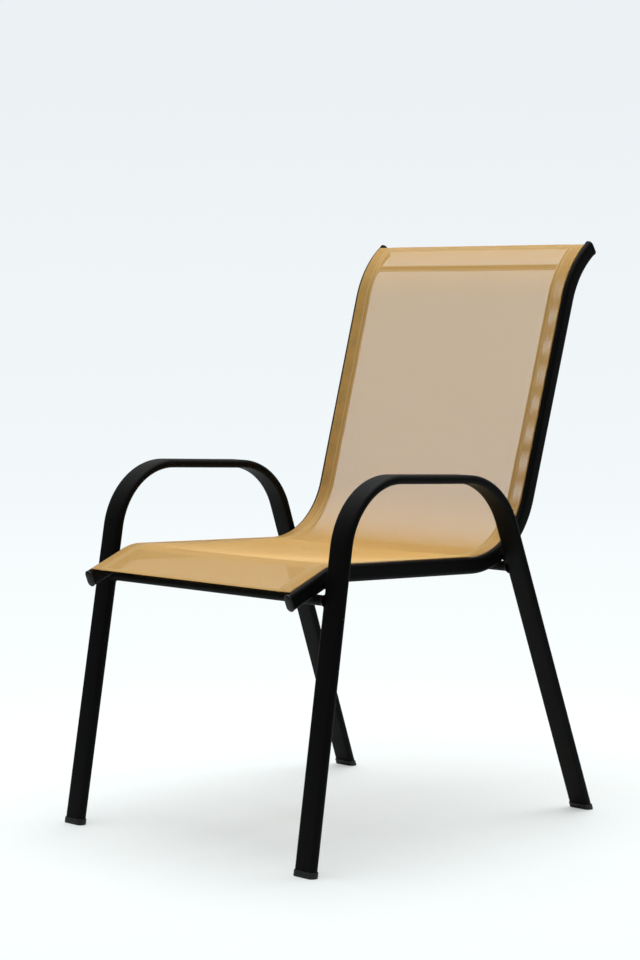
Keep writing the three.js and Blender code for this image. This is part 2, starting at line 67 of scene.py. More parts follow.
# Sling rail
KNEE = 0.0933 + 0.4313j
LAP = KNEE + 0.4269 - 0.0187j
NOSE = KNEE - 0.0947 * np.exp(1j * math.radians(21.5))
UPWARD = np.exp(1j * math.radians(73.3))
NECK = LAP + 0.4408 * UPWARD
BEND_RADII = (0.068, 0.139)
CURL_RADIUS, CURL_ANGLE = 0.1538, math.radians(39)
SPACING_NOSE, SPACING_LAP, SPACING_TOP = 0.4374, 0.442, 0.4528
RAIL_WIDTH, RAIL_DEPTH, RAIL_WALL = 0.0135, 0.0264, 0.0014
RAIL_LEG_GAP = 0.00435
SLOT_WIDTH, SLOT_INSET = 0.0032, 0.0014
ARC_STEPS = 60  # facets of each bend, fine enough that the weave shows no bands
OUTER_STEPS, BORE_STEPS = 16, 12  # points of each arc in the rail's section

# Crossbars and weld beads
BAR_RADIUS = 0.008
BAR_GAPS = {"front": 0.0034, "rear": 0.0026}
BAR_SIDES, BAR_RINGS = 48, 5
COPE_DEPTH = 0.0025
BEAD_REACH, BEAD_HEIGHT, BEAD_RIPPLE, BEAD_SINK = 0.005, 0.003, 0.0002, 0.0002
BEAD_RINGS, BEAD_SLANT, RIPPLE_STEPS = 13, 2.5, 6
LUMP_RADIUS, LUMP_DROP, LUMP_GAP = 0.0052, 0.78, 0.0024  # the drop is a share of half a rail
LUMP_RIPPLES, LUMP_RIPPLE, LUMP_SLANT = 20, 0.035, 3
LUMP_RINGS, LUMP_SIDES, LUMP_POLE = 25, 60, 0.06

# Sling
FABRIC = 0.00014
YARN_CROWN, YARN_KEEL = 0.00005, 0.0003  # over and under the middle of the cloth's thickness
HEM_WIDTH, HEM_FOLD = 0.0285, 0.0102
FRONT_HEM, TOP_HEM = 0.008, 0.0099
FRONT_INSET, TOP_INSET = 0.006, 0.0075
BAND_DROP, BAND_WIDTH = 0.0415, 0.0112
SEAT_SAG, BACK_SAG = 0.007, 0.004
YARN_WANDER, YARN_RISE = 0.6, 0.6  # shares of the pitch, and of the yarn's own height
ROD_RADIUS, ROD_LEVEL, ROD_SIDES = 0.002, 0.00732, 20
LOOP_RADIUS, LOOP_STEPS = 0.0029, 17
NECK_OFFSET = 0.0004  # from the slot's middle to the middle of each layer in it
FACE_LEVEL, LOWER_LEVEL, STRIP_LEVEL = 0.0142, 0.0136, 0.013  # the layers' middles
FACE_START = -0.004  # where the edge's section begins, inside the slot
FACE_BEND, NECK_BEND, FOLD_SHARE = 0.0005, 0.0004, 0.999
BEND_STEPS, FOLD_STEPS = 5, 6
CLOTH_STEP, CLOTH_COLUMNS, HEM_COLUMNS, BAND_COLUMNS, BAND_LINES = 0.006, 19, 121, 61, 5
FACE_SAMPLES = 2000
FRONT_RIPPLE, TOP_RIPPLE = 0.0002, 0.0006
RAW_MOVES = (1, 0.66, 0.33, 0)  # the raw edge moves most, and the fold not at all
RIPPLE_WAVES = ((1, 61, 1.3), (0.7, 143, 0.4), (0.4, 397, 0))  # size, radians a metre, phase
WEFT_MARGIN, WEFT_COLUMNS, ROOF_SHARE = 0.001, 19, 0.49
CLEARANCE = 0.0003

# Sewing. A row's place is its distance from the edge beside it.
STITCH_SHARE, STITCH_THICKNESS, STITCH_FLATNESS = 0.86, 0.0013, 0.75
STITCH_RINGS, STITCH_SIDES = (0.02, 0.14, 0.38, 0.62, 0.86, 0.98), 6
SIDE_ROWS, FRONT_ROW, TOP_ROW, BAND_ROW = (0.0014, 0.0084), 0.0058, 0.0068, 0.0015
ROW_START, ROW_END = 0.003, 0.002
PROBE = 0.0005  # the step that finds a direction on the cloth

# Caps
RAIL_CAP_HEIGHT, RAIL_CAP_LIP, RAIL_CAP_PLUG = 0.004, 0.0005, 0.009
RAIL_CAP_PLAY, ROD_PLAY = 0.0012, 0.0016
RAIL_CAP_SEAT, RAIL_CAP_RIM, RAIL_CAP_DOME = 0.985, (0.08, 0.4), 0.62  # shares and a power
RAIL_CAP_TURNS = (15, 30, 45, 60, 72, 82, 88)
FOOT_CAP_HEIGHT, FOOT_CAP_WALL, FOOT_CAP_SOLE, FOOT_CAP_BEVEL = 0.009, 0.0015, 0.003, 0.0009
FOOT_CAP_TURNS = (0, 30, 60, 90)

# Noises, in bumps per metre
PEEL_SCALE, CLOUD_SCALE, GRAIN_SCALE, DIE_SCALE, PAPER_SCALE = 420, 14, 1400, 900, 300
TWIST_SCALE, STRAND_SCALE, DRIFT_SCALE, TONE_SCALE = 2500, 1500, 260, 60

# Stage
BACKDROP_SIDE = (-0.65, 0.69, 0.32)  # from the chair to the middle of the bright backdrop
BEHIND_LEVEL, FRONT_LEVEL, ABOVE_LEVEL, DIM_LEVEL = 0.85, 0.2, 0.58, 0.015
BEHIND_SPAN, FRONT_SPAN, ABOVE_SPAN = (0.1, 0.7), (-0.8, -0.3), (0.4, 0.85)  # cosines
HORIZON_SPAN = (-0.085, 0.09)  # the rise of the view across which the backdrop's tone turns
NEAR_GLOW = 0.35  # how much of the seen floor near the chair has the backdrop's level
SEEN_SPAN, MIRRORED_SPAN, PALE_SPAN = (1.0, 2.3), (0.5, 1.5), (1.8, 6.0)  # metres of floor
FLOOR_RADIUS, FLOOR_SIDES = 6.0, 96
PANEL_SIZE, PANEL_PLACE = 3.4, (-0.3, 0.3, 4.2)
CAMERA_PLACE = (2.5891, -2.7922, 0.8426)
CAMERA_TURN, CAMERA_TILT = math.radians(43.403), math.radians(4.488)
CAMERA_LENS, CAMERA_SENSOR, CAMERA_REACH = 88.671, 36, 100


# ------------ lines and surfaces


def rounded(corners, radii, steps):
    """Points and headings of a line with rounded corners, as complex numbers."""
    corners = np.asarray(corners, complex)
    heads = np.diff(corners)
    heads /= abs(heads)
    points, headings = [corners[:1]], [heads[:1]]
    for corner, radius, before, after in zip(corners[1:-1], radii, heads, heads[1:]):
        turn = np.angle(after / before)
        start = corner - before * radius * math.tan(abs(turn) / 2)
        centre = start + 1j * math.copysign(radius, turn) * before
        spin = np.exp(1j * turn * np.linspace(0, 1, steps + 1))
        points.append(centre + (start - centre) * spin)
        headings.append(before * spin)
    points.append(corners[-1:])
    headings.append(heads[-1:])
    return np.concatenate(points), np.concatenate(headings)


def lengths(points):
    """The length along a line up to each of its points."""
    return np.concatenate([[0], np.cumsum(abs(np.diff(points)))])


class Line:
    """A side-view line that can be read at any run, the distance along it."""

    def __init__(self, points, headings):
        self.points, self.headings = points, headings
        self.runs = lengths(points)
        self.length = self.runs[-1]

    def at(self, run):
        """Point and unit heading at each run, in between by share."""
        heading = np.interp(run, self.runs, self.headings)
        return np.interp(run, self.runs, self.points), heading / abs(heading)

    def stations(self, start, end, step):
        """Its own runs from start to end, with every gap longer than a step divided."""
        own = self.runs[(self.runs > start) & (self.runs < end)]
        marks = np.concatenate([[start], own, [end]])
        counts = np.maximum(1, np.ceil(np.diff(marks) / step)).astype(int)
        parts = [np.linspace(a, b, n, endpoint=False) for a, b, n in zip(marks, marks[1:], counts)]
        return np.concatenate([*parts, [end]])


def rail_line():
    """The knee and lap corners rounded, then an arc that curls to the rear at the top."""
    points, headings = rounded([NOSE, KNEE, LAP, NECK], BEND_RADII, ARC_STEPS)
    spin = np.exp(-1j * CURL_ANGLE * np.linspace(0, 1, ARC_STEPS + 1))
    centre = NECK - 1j * CURL_RADIUS * UPWARD
    return Line(
        np.concatenate([points[:-1], centre + (NECK - centre) * spin]),
        np.concatenate([headings[:-1], UPWARD * spin]),
    )


RAIL = rail_line()
LAP_RUN = RAIL.runs[2 + ARC_STEPS + ARC_STEPS // 2]  # the middle of the lap's arc
SLING_FROM, SLING_TO = FRONT_INSET, RAIL.length - TOP_INSET
FRAME_LINE = Line(*rounded([FRONT_FOOT, ARM_FRONT, ARM_REAR, REAR_FOOT], ARM_RADII,
                           FRAME_ARC_STEPS))


def rail_x(run):
    """Half the rails' spacing: straight from the nose to the lap, and on to the top."""
    spacing = [SPACING_NOSE, SPACING_LAP, SPACING_TOP]
    return np.interp(run, [0, LAP_RUN, RAIL.length], spacing) / 2


def crossing(foot, corner):
    """Where a leg's line crosses the rail's: the rail's run, the point and the angle's sine."""
    leg = (corner - foot) / abs(corner - foot)
    side = ((RAIL.points - foot) * leg.conjugate()).imag
    inside = np.flatnonzero(side[:-1] * side[1:] < 0)[-1 if foot == REAR_FOOT else 0]
    share = side[inside] / (side[inside] - side[inside + 1])
    run = RAIL.runs[inside] + share * (RAIL.runs[inside + 1] - RAIL.runs[inside])
    point, heading = RAIL.at(run)
    return run, point, abs((heading * leg.conjugate()).imag)


JOINTS = {
    "front": (FRONT_FOOT, FRONT_SPLAY, *crossing(FRONT_FOOT, ARM_FRONT)),
    "rear": (REAR_FOOT, REAR_SPLAY, *crossing(REAR_FOOT, ARM_REAR)),
}


def leg_x(end, height):
    """The leg stands beside the rail at the joint, and splays evenly down to the foot."""
    _, splay, run, point, _ = JOINTS[end]
    beside = rail_x(run) + RAIL_WIDTH / 2 + RAIL_LEG_GAP + LEG_WIDTH / 2
    return beside + splay * (1 - height / point.imag)


def frame_x(points):
    """The front leg's x, turning into the rear leg's evenly along the armrest."""
    share = np.clip((points.real - ARM_FRONT.real) / (ARM_REAR - ARM_FRONT).real, 0, 1)
    return (1 - share) * leg_x("front", points.imag) + share * leg_x("rear", points.imag)


def bar_place(end):
    """The crossbar's centre in side view, the inner edge of the leg there, and its heading."""
    foot, _, _, point, sine = JOINTS[end]
    down = (foot - point) / abs(foot - point)
    place = point + down * (RAIL_DEPTH / 2 + BAR_GAPS[end] + BAR_RADIUS) / sine
    return place, leg_x(end, place.imag) - LEG_WIDTH / 2, down


def space(x, side_view):
    """Points in the row's frame from x and the side view."""
    x, side_view = np.broadcast_arrays(x, side_view)
    return np.stack([x, side_view.real - MIDDLE_Y, side_view.imag], axis=-1)


def carried(x, points, headings, across, above):
    """A section carried along a line: across is added to x, above goes a quarter turn left."""
    side_view = points[:, None] + 1j * headings[:, None] * above
    return space(x[:, None] + across, side_view)


def ellipse(width, depth, angles):
    """Across and above of an ellipse, at angles clockwise from its top."""
    return np.sin(angles) * width / 2, np.cos(angles) * depth / 2


def flat_oval(width, thickness):
    """Across and above of two half circles joined by flats."""
    turn = np.linspace(-math.pi / 2, math.pi / 2, OVAL_STEPS + 1)
    across = (width - thickness) / 2 + np.cos(turn) * thickness / 2
    above = np.sin(turn) * thickness / 2
    return np.concatenate([across, -across]), np.concatenate([above, -above])


def slotted_oval(width, depth, steps):
    """Across and above of an upright flat oval, clockwise from the slot's side to the other."""
    start, end = (math.asin(2 * (half - SLOT_INSET) / width)
                  for half in (SLOT_WIDTH / 2, -SLOT_WIDTH / 2))
    marks = [start, math.pi / 2, 3 * math.pi / 2, 2 * math.pi + end]
    parts = []
    for low, high, upward in zip(marks, marks[1:], (1, -1, 1)):
        across, above = ellipse(width, width, np.linspace(low, high, steps))
        parts.append([across, above + upward * (depth - width) / 2])
    return np.hstack(parts)


def turns(count):
    """Angles of a full circle, without the last."""
    return np.arange(count) * 2 * math.pi / count


# ------------ meshes


def outward(points, quads, caps):
    """Turns a closed skin's faces round if the volume that they enclose is negative."""
    fans = [quads[:, [0, 1, 2]], quads[:, [0, 2, 3]]]
    for cap in caps:
        first = np.full(len(cap) - 2, cap[0])
        fans.append(np.stack([first, cap[1:-1], cap[2:]], axis=1))
    a, b, c = np.moveaxis((points - points[0])[np.concatenate(fans)], 1, 0)
    if (a * np.cross(b, c)).sum() < 0:
        quads, caps = quads[:, ::-1], [cap[::-1] for cap in caps]
    return points, quads, caps


def tubes(grids):
    """Tubes of rings, closed round each ring and by a face over the first and last."""
    count, rows, around = grids.shape[:3]
    index = np.arange(count * rows * around).reshape(count, rows, around)
    nxt = np.roll(index, -1, axis=2)
    quads = np.stack([index[:, :-1], nxt[:, :-1], nxt[:, 1:], index[:, 1:]], axis=-1)
    caps = [*index[:, 0, ::-1], *index[:, -1]]
    return outward(grids.reshape(-1, 3), quads.reshape(-1, 4), caps)


def tube(grid):
    return tubes(grid[None])


def ring(grid):
    """A grid closed in both directions, as a bead that runs round a bar."""
    rows, around = grid.shape[:2]
    index = np.arange(rows * around).reshape(rows, around)
    down, across = np.roll(index, -1, axis=0), np.roll(index, -1, axis=1)
    both = np.roll(down, -1, axis=1)
    quads = np.stack([index, across, both, down], axis=-1).reshape(-1, 4)
    return outward(grid.reshape(-1, 3), quads, [])


def face_uv(u, v):
    """A row of u and v for each point of a slab, whose two faces share them."""
    uv = np.stack(np.broadcast_arrays(u, v), axis=-1).reshape(-1, 2)
    return np.concatenate([uv, uv])


def slab(upper, lower):
    """A sheet with a thickness: two grids of one shape, joined along their four edges."""
    rows, columns = upper.shape[:2]
    top = np.arange(rows * columns).reshape(rows, columns)
    low = top + rows * columns
    rim = np.concatenate([top[0, :-1], top[:-1, -1], top[-1, :0:-1], top[:0:-1, 0]])
    nxt = np.roll(rim, -1)
    quads = [
        np.stack([top[:-1, :-1], top[:-1, 1:], top[1:, 1:], top[1:, :-1]], axis=-1),
        np.stack([low[:-1, :-1], low[1:, :-1], low[1:, 1:], low[:-1, 1:]], axis=-1),
        np.stack([nxt, rim, low.flat[rim], low.flat[nxt]], axis=-1),
    ]
    points = np.concatenate([upper.reshape(-1, 3), lower.reshape(-1, 3)])
    return outward(points, np.concatenate([q.reshape(-1, 4) for q in quads]), [])


def placed(name, data):
    """A new object at the origin, in the scene."""
    obj = bpy.data.objects.new(name, data)
    bpy.context.scene.collection.objects.link(obj)
    return obj


def piece(name, parts, material, replaced=(), uv=None, sharp=35):
    """An object of closed parts that rides on the chair. uv has a row for each point."""
    points, faces, base = [], [], 0
    for part_points, quads, caps in parts:
        points.append(part_points)
        faces += (quads + base).tolist() + [(cap + base).tolist() for cap in caps]
        base += len(part_points)
    mesh = bpy.data.meshes.new(name)
    mesh.from_pydata(np.concatenate(points), [], faces)
    mesh.polygons.foreach_set("use_smooth", np.ones(len(mesh.polygons), bool))
    mesh.set_sharp_from_angle(angle=math.radians(sharp))
    if uv is not None:
        corners = np.empty(len(mesh.loops), np.int32)
        mesh.loops.foreach_get("vertex_index", corners)
        layer = mesh.uv_layers.new(name="cloth")
        layer.data.foreach_set("uv", np.asarray(uv)[corners].ravel())
    mesh.materials.append(material)
    mesh.update()
    obj = placed(name, mesh)
    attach(obj, BODY)
    if replaced:
        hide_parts(*replaced)
    return obj


def pair(name, part, material, node, sharp=35):
    """The left side's piece, and its mirror image across X = 0."""
    points, quads, caps = part
    for hand, side in SIDES.items():
        mirrored = outward(points * [side, 1, 1], quads, caps)
        piece(f"{name}_{hand}", [mirrored], material, [f"{node}_{hand}"], sharp=sharp)


# ------------ materials


def linear(code):
    """Linear RGBA of an sRGB hex colour."""
    srgb = np.array([int(code[i:i + 2], 16) / 255 for i in (1, 3, 5)])
    rgb = np.where(srgb <= 0.04045, srgb / 12.92, ((srgb + 0.055) / 1.055) ** 2.4)
    return (*rgb.tolist(), 1.0)


def add(tree, kind, inputs=None, **settings):
    """A new node with its settings, and each input set to a value or linked to an output."""
    node = tree.nodes.new(kind)
    for key, value in settings.items():
        setattr(node, key, value)
    for key, value in (inputs or {}).items():
        if isinstance(value, bpy.types.NodeSocket):
            tree.links.new(value, node.inputs[key])
        else:
            node.inputs[key].default_value = value
    return node


def calc(tree, operation, *values):
    """A Math node's result."""
    inputs = dict(enumerate(values))
    return add(tree, "ShaderNodeMath", inputs, operation=operation).outputs[0]


def vector_value(tree, operation, *vectors):
    """A Vector Math node's number."""
    inputs = dict(enumerate(vectors))
    return add(tree, "ShaderNodeVectorMath", inputs, operation=operation).outputs["Value"]


def new_material(name):
    """An empty material's node tree, and the material."""
    material = bpy.data.materials.new(name)
    material.use_nodes = True
    material.node_tree.nodes.clear()
    return material, material.node_tree


def finish_surface(tree, shader):
    add(tree, "ShaderNodeOutputMaterial", {"Surface": shader.outputs[0]})


def principled(material, tree, inputs):
    """The material, ended in a Principled shader with these inputs."""
    finish_surface(tree, add(tree, "ShaderNodeBsdfPrincipled", inputs))
    return material


def object_place(tree):
    return add(tree, "ShaderNodeTexCoord").outputs["Object"]


def noise_at(tree, where, scale, detail=2.0):
    """A noise's value, from 0 to 1."""
    inputs = {"Vector": where, "Scale": scale, "Detail": detail}
    return add(tree, "ShaderNodeTexNoise", inputs).outputs["Fac"]


def span(tree, value, low, high, start=0.0, end=1.0):
    """Maps a value that goes from start to end onto low to high."""
    inputs = {"Value": value, "From Min": start, "From Max": end, "To Min": low, "To Max": high}
    return add(tree, "ShaderNodeMapRange", inputs).outputs[0]


def blend(tree, share, first, second):
    """The mix of two colours."""
    inputs = {"Factor": share, "A": first, "B": second}
    return add(tree, "ShaderNodeMix", inputs, data_type="RGBA").outputs["Result"]


def shaded(colour, share):
    """The colour with each channel times the share, up to 1."""
    return tuple(min(1.0, c * share) for c in colour[:3]) + (1.0,)


def powder_coat(colour):
    """Powder-coated steel: a baked polymer film with a satin gloss and a faint orange peel."""
    material, tree = new_material("powder_coated_steel")
    where = object_place(tree)
    peel = noise_at(tree, where, PEEL_SCALE)
    cloud = noise_at(tree, where, CLOUD_SCALE)
    relief = add(tree, "ShaderNodeBump", {"Height": peel, "Strength": 0.12, "Distance": 0.00008})
    return principled(material, tree, {
        "Base Color": blend(tree, cloud, shaded(colour, 0.8), tuple(colour)),
        "Roughness": span(tree, cloud, 0.55, 0.62, 0.3, 0.7),
        "IOR": 1.2,  # the film's texture takes most of its gloss away at a low glance
        "Specular IOR Level": 0.5,
        "Normal": relief.outputs[0],
    })


def moulded_cap(colour):
    """Moulded polypropylene: matte and slightly waxy, with the fine grain of an etched mould."""
    material, tree = new_material("moulded_polypropylene")
    grain = noise_at(tree, object_place(tree), GRAIN_SCALE)
    relief = add(tree, "ShaderNodeBump", {"Height": grain, "Strength": 0.25, "Distance": 0.0001})
    return principled(material, tree, {
        "Base Color": tuple(colour),
        "Roughness": span(tree, grain, 0.48, 0.62, 0.3, 0.7),
        "IOR": 1.49,
        "Normal": relief.outputs[0],
    })


def extruded_rod(colour):
    """Extruded soft PVC: smooth along its length, with faint die lines."""
    material, tree = new_material("extruded_pvc")
    lines = noise_at(tree, object_place(tree), DIE_SCALE)
    return principled(material, tree, {
        "Base Color": tuple(colour),
        "Roughness": span(tree, lines, 0.42, 0.55, 0.3, 0.7),
        "IOR": 1.53,
    })


def filaments(name, colour, scale, darkest, inputs):
    """Spun polyester: the tone varies from the darkest share of the colour to all of it."""
    material, tree = new_material(name)
    strands = noise_at(tree, object_place(tree), scale)
    tone = blend(tree, strands, shaded(colour, darkest), tuple(colour))
    return principled(material, tree, {"Base Color": tone, **inputs})


def sewing_thread(colour):
    """Bonded polyester thread: twisted filaments with a light bonding coat."""
    return filaments("bonded_polyester_thread", colour, TWIST_SCALE, 0.7,
                     {"Roughness": 0.6, "Sheen Weight": 0.1})


def lightened_weft_yarn(colour):
    """Polyester weft yarn of straight filaments, its colour painted lighter than the mesh's to
    stand in for light that the ridges' flanks miss.
    """
    return filaments("polyester_weft_painted_lighter", colour, STRAND_SCALE, 0.85,
                     {"Roughness": 0.55})


def coated_mesh(name, colour, pitch, yarn, open_weave):
    """PVC-coated polyester mesh: round coated yarns in a plain weave, with square holes.

    The yarns run along u and v, in metres. Each is a domed ridge, and the one on top changes
    from each crossing to the next.
    """
    material, tree = new_material(name)
    where = add(tree, "ShaderNodeUVMap", uv_map="cloth").outputs[0]
    drift = noise_at(tree, where, DRIFT_SCALE, 1.0)
    wander = calc(tree, "MULTIPLY", calc(tree, "SUBTRACT", drift, 0.5), YARN_WANDER * pitch)
    axes = add(tree, "ShaderNodeSeparateXYZ", {"Vector": where})
    u = calc(tree, "ADD", axes.outputs[0], wander)
    v = axes.outputs[1]
    aside = [calc(tree, "PINGPONG", value, pitch / 2) for value in (u, v)]
    phase = [calc(tree, "COSINE", calc(tree, "MULTIPLY", value, math.pi / pitch))
             for value in (u, v)]
    over = calc(tree, "MULTIPLY", *phase)
    heights = []
    for off, sign in zip(aside, (1, -1)):
        part = calc(tree, "DIVIDE", off, yarn / 2)
        dome = calc(tree, "SUBTRACT", 1.0, calc(tree, "MULTIPLY", part, part))
        heights.append(calc(tree, "MULTIPLY_ADD", over, YARN_RISE * sign, dome))
    top = calc(tree, "MAXIMUM", *heights)
    warp_on_top = calc(tree, "GREATER_THAN", *heights)
    relief = add(tree, "ShaderNodeBump", {
        "Height": calc(tree, "MAXIMUM", top, -0.5), "Strength": 0.55, "Distance": yarn / 2,
    })
    cloud = noise_at(tree, where, TONE_SCALE)
    tone = calc(tree, "MULTIPLY_ADD", warp_on_top, 0.4, calc(tree, "MULTIPLY", cloud, 0.6))
    inputs = {
        "Base Color": blend(tree, tone, shaded(colour, 0.92), shaded(colour, 1.08)),
        "Roughness": span(tree, cloud, 0.5, 0.62, 0.3, 0.7),
        "IOR": 1.53,
        "Specular IOR Level": 0.4,
        "Normal": relief.outputs[0],
    }
    if open_weave:
        nearest = calc(tree, "MINIMUM", *aside)
        inputs["Alpha"] = calc(tree, "LESS_THAN", nearest, yarn / 2)
    return principled(material, tree, inputs)


# ------------ the sling's surfaces


def slot_x(run):
    return rail_x(run) - SLOT_INSET


def sag_at(run):
    """How far the middle hangs: a squared sine over the seat, and one over the back."""
    seat = np.clip((run - SLING_FROM) / (LAP_RUN - SLING_FROM), 0, 1)
    back = np.clip((run - LAP_RUN) / (SLING_TO - LAP_RUN), 0, 1)
    return SEAT_SAG * np.sin(math.pi * seat) ** 2 + BACK_SAG * np.sin(math.pi * back) ** 2


def on_sling(run, x, above):
    """Points at x across the chair and above the rails' centre lines, less the sag there."""
    run, x, above = np.broadcast_arrays(run, x, above)
    point, heading = RAIL.at(run.ravel())
    sag = sag_at(run) * (1 - np.minimum(1, (x / slot_x(run)) ** 2))
    side_view = point.reshape(run.shape) + 1j * heading.reshape(run.shape) * (above - sag)
    return space(x, side_view)


def offset(points, amount):
    """An open line moved to its left by an amount, with mitred corners."""
    heads = np.diff(points)
    heads = heads / abs(heads)
    before = np.concatenate([heads[:1], heads])
    after = np.concatenate([heads, heads[-1:]])
    middle = (before + after) / 2
    return points + 1j * amount * middle / abs(middle) ** 2


FACE_RUNS = np.linspace(0, RAIL.length, FACE_SAMPLES)
FACE_POINTS, FACE_HEADINGS = RAIL.at(FACE_RUNS)
FACE_LENGTHS = lengths(FACE_POINTS + 1j * FACE_HEADINGS * FACE_LEVEL)


def cloth_length(run):
    """The length along the sling's face up to a run of the rail."""
    return np.interp(run, FACE_RUNS, FACE_LENGTHS)


def edge_line():
    """The edge in section from the slot's middle: down, round the rod, out, and turned under."""
    fold = (LOWER_LEVEL - STRIP_LEVEL) / 2 * FOLD_SHARE
    neck_end = ROD_LEVEL + math.sqrt(LOOP_RADIUS**2 - NECK_OFFSET**2)
    start = math.asin(NECK_OFFSET / LOOP_RADIUS)
    face, _ = rounded(
        [FACE_START + 1j * FACE_LEVEL, NECK_OFFSET + 1j * FACE_LEVEL,
         NECK_OFFSET + 1j * neck_end],
        [FACE_BEND], BEND_STEPS,
    )
    angles = np.linspace(start, 2 * math.pi - start, LOOP_STEPS)[1:-1]
    loop = 1j * ROD_LEVEL + LOOP_RADIUS * np.exp(1j * (math.pi / 2 - angles))
    inner = -HEM_WIDTH + FABRIC / 2
    corners = [
        -NECK_OFFSET + 1j * neck_end,
        -NECK_OFFSET + 1j * LOWER_LEVEL,
        inner + 1j * LOWER_LEVEL,
        inner + 1j * STRIP_LEVEL,
        -HEM_WIDTH + HEM_FOLD + 1j * STRIP_LEVEL,
    ]
    under, _ = rounded(corners, [NECK_BEND, fold, fold], BEND_STEPS)
    return np.concatenate([face, loop, under])


def sling_grids(thickness):
    """The sling's two faces, a thickness apart, its edges hung on the slots, and their uv."""
    edge = edge_line()
    shares = np.linspace(0, 1, CLOTH_COLUMNS)[:-1]
    run = RAIL.stations(SLING_FROM + FABRIC, SLING_TO - FABRIC, CLOTH_STEP)[:, None]
    slot = slot_x(run)
    reach = slot + edge[0].real
    faces = []
    for side in (1, -1):
        moved = offset(edge, side * thickness / 2)
        x = np.hstack([shares * reach, slot + moved.real])
        level = np.full(len(shares), edge[0].imag + side * thickness / 2)
        above = np.concatenate([level, moved.imag])
        x = np.hstack([-x[:, :0:-1], x])
        above = np.concatenate([above[:0:-1], above])
        faces.append(on_sling(run, x, above[None, :]))
    u = np.hstack([shares * reach, reach + lengths(edge)])
    u = np.hstack([-u[:, :0:-1], u])
    return faces, face_uv(u, cloth_length(run))


def folded_hem(edge_run, inward, depth, ripple):
    """A hem that folds under at a cut edge: lower layer, round fold and the face's end.

    inward is 1 at the front edge and -1 at the top one. ripple sizes the raw edge's waves.
    """
    fold = (FACE_LEVEL - LOWER_LEVEL) / 2 * FOLD_SHARE
    apex = FABRIC / 2
    corners = [
        depth + 1j * LOWER_LEVEL, apex + 1j * LOWER_LEVEL,
        apex + 1j * FACE_LEVEL, FABRIC + 1j * FACE_LEVEL,
    ]
    line, _ = rounded(corners, [fold, fold], FOLD_STEPS)
    rippled = len(RAW_MOVES)
    line = np.concatenate([np.linspace(line[0], line[1], rippled)[:-1], line[1:]])
    along = lengths(line)
    half = slot_x(edge_run) - HEM_WIDTH - 2 * CLEARANCE
    x = np.linspace(-half, half, HEM_COLUMNS)[None, :]
    wave = sum(size * np.sin(x * rate + phase) for size, rate, phase in RIPPLE_WAVES)
    raw = np.zeros(len(line))
    raw[:rippled] = RAW_MOVES
    grids = []
    for side in (1, -1):
        moved = offset(line, side * FABRIC / 2)
        run = edge_run + inward * (moved.real[:, None] + ripple * raw[:, None] * wave)
        grids.append(on_sling(run, x, moved.imag[:, None]))
    v = cloth_length(edge_run) - inward * (along[-1] - along)[:, None]
    return grids, face_uv(x, v)


def weft_yarns(pitch, yarn):
    """The cross yarns: ridges as wide as a yarn, one for each pitch.

    In section each is a kite, with a low roof over the cloth's face and a keel below it. The
    ridges close the weave to a low glance.
    """
    first, last = cloth_length(SLING_FROM + WEFT_MARGIN), cloth_length(SLING_TO - WEFT_MARGIN)
    along = pitch * np.arange(math.ceil(first / pitch), math.floor(last / pitch) + 1)
    run = np.interp(along, FACE_LENGTHS, FACE_RUNS)[:, None, None]
    share = np.linspace(-1, 1, WEFT_COLUMNS)[None, :, None]
    ahead = np.array([-0.5, 0, 0.5, 0]) * yarn
    roof = ROOF_SHARE * FABRIC
    above = FACE_LEVEL + np.array([roof, roof + YARN_CROWN, roof, -YARN_KEEL])
    return tubes(on_sling(run + ahead, share * slot_x(run), above))


def stitches(run, x, above, heading_x, length, thickness):
    """A row of stitches, each a spindle of thread along the row, pressed flat on the cloth.

    run, x and above are one value for all stitches, or have an entry for each.
    """
    if heading_x:
        ahead = on_sling(run, x + PROBE, above) - on_sling(run, x - PROBE, above)
    else:
        ahead = on_sling(run + PROBE, x, above) - on_sling(run - PROBE, x, above)
    ahead /= np.linalg.norm(ahead, axis=-1, keepdims=True)
    up = on_sling(run, x, above + PROBE) - on_sling(run, x, above)
    up /= np.linalg.norm(up, axis=-1, keepdims=True)
    aside = np.cross(ahead, up)
    share = np.array(STITCH_RINGS)
    radius = thickness / 2 * np.sqrt(np.sin(math.pi * share))
    angles = turns(STITCH_SIDES)
    local = np.stack(np.broadcast_arrays(
        (share[:, None] - 0.5) * length,
        radius[:, None] * np.cos(angles),
        STITCH_FLATNESS * radius[:, None] * np.sin(angles),
    ), axis=-1)
    axes = np.stack([ahead, aside, up], axis=1)
    centres = on_sling(run, x, above)
    return tubes(centres[:, None, None, :] + np.einsum("rak,nkd->nrad", local, axes))


# ------------ settings


class CHAIR_PG_frame(bpy.types.PropertyGroup):
    """Sizes and colours of the tubes, welds and caps."""

    paint: FloatVectorProperty(
        name="Paint", description="Colour of the powder coat", subtype="COLOR", size=4,
        min=0, max=1, default=linear("#070806"))
    cap: FloatVectorProperty(
        name="Caps", description="Colour of the moulded caps", subtype="COLOR", size=4,
        min=0, max=1, default=linear("#070807"))
    ripple: FloatProperty(
        name="Weld ripple", description="Distance between the ripples of a weld bead",
        default=0.0016, min=0.0008, max=0.004, subtype="DISTANCE", unit="LENGTH")


